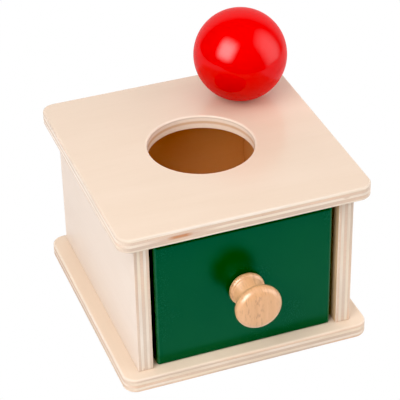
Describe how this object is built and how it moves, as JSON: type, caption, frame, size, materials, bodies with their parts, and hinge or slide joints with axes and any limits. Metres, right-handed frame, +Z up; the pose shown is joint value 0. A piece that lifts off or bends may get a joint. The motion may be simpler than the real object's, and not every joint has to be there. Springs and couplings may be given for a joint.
{
  "type": "object permanence box",
  "caption": "Plywood ball-drop toy box: a ball goes through the round hole in the lid into a painted drawer that slides out by a turned wooden knob.",
  "frame": {"origin": "centre of the underside of the base panel", "axes": "+X to the right seen from the drawer side, +Y from the drawer side to the rear, +Z up; the drawer opens towards -Y"},
  "size_m": [0.15, 0.1695, 0.162],
  "materials": {
    "birch_ply": "clear satin lacquer on birch plywood",
    "drawer_ply": "bare warm-toned plywood",
    "dowel_wood": "bare fluted beech",
    "green_paint": "satin paint on plywood",
    "knob_wood": "gloss lacquer on turned beech",
    "red_paint": "gloss paint on a turned ball",
    "screw_steel": "zinc plated"
  },
  "bodies": {
    "box": {"base_panel": "birch_ply", "lid_panel": "birch_ply", "left_wall": "birch_ply", "right_wall": "birch_ply", "rear_wall": "birch_ply", "lid_dowels": "dowel_wood", "rear_wall_dowels": "dowel_wood", "base_screws": "screw_steel"},
    "drawer": {"drawer_front": "green_paint", "drawer_left_side": "drawer_ply", "drawer_right_side": "drawer_ply", "drawer_back": "drawer_ply", "drawer_bottom": "drawer_ply", "drawer_dowels": "dowel_wood", "drawer_brads": "screw_steel", "knob": "knob_wood", "knob_screw": "screw_steel"},
    "ball": {"ball": "red_paint"}
  },
  "joints": [
    {"name": "drawer_slide", "type": "slide", "parent": "box", "child": "drawer", "axis": [0, -1, 0], "range_m": [0, 0.115]},
    {"name": "ball_lift", "type": "slide", "parent": "box", "child": "ball", "axis": [0, 0, 1], "range_m": [0, 0.08]}
  ]
}
